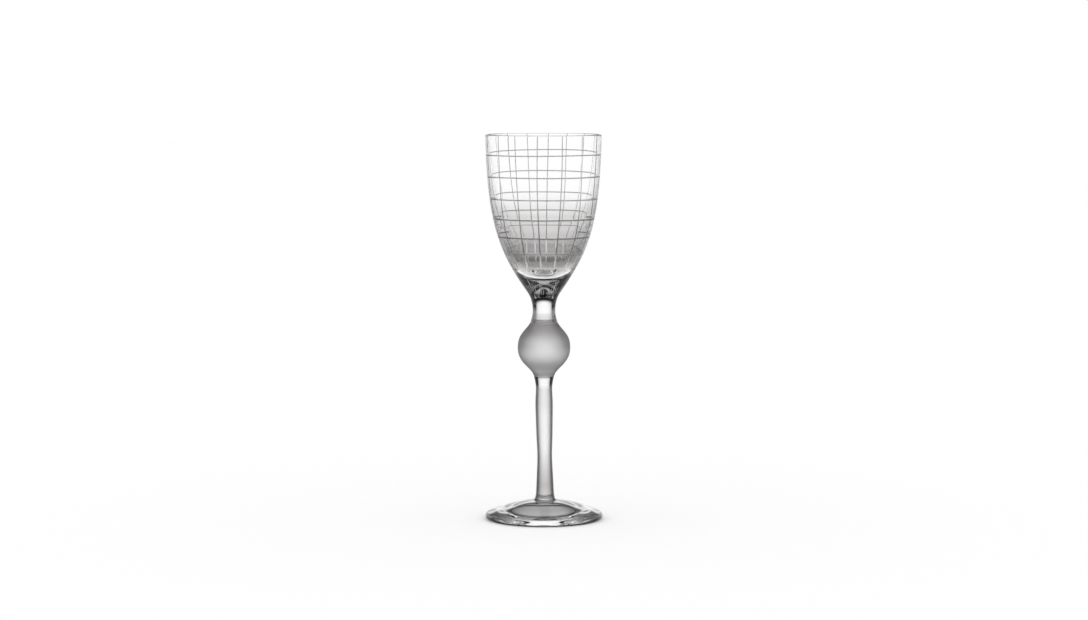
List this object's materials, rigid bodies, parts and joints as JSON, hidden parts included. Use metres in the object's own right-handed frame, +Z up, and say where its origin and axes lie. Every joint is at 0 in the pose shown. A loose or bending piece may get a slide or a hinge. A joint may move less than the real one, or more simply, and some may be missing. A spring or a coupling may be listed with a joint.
{
  "type": "cordial glass",
  "caption": "Small stemmed glass with a tapering bowl cut with a fine square grid, a frosted ball knop, a drawn stem and a spread foot.",
  "frame": {"origin": "on the table, under the middle of the foot", "axes": "+Z up along the stem, -Y towards the side that the picture shows"},
  "size_m": [0.0504, 0.0504, 0.165],
  "materials": {
    "clear_crystal": "clear, colourless crystal with a fire-polished surface; the bowl carries fine grey matt cuts",
    "frosted_crystal": "the same crystal, acid-frosted to an even satin white all over"
  },
  "bodies": {
    "root": {"foot": "clear_crystal", "stem": "clear_crystal", "knop": "frosted_crystal", "neck": "clear_crystal", "bowl": "clear_crystal"}
  },
  "joints": []
}
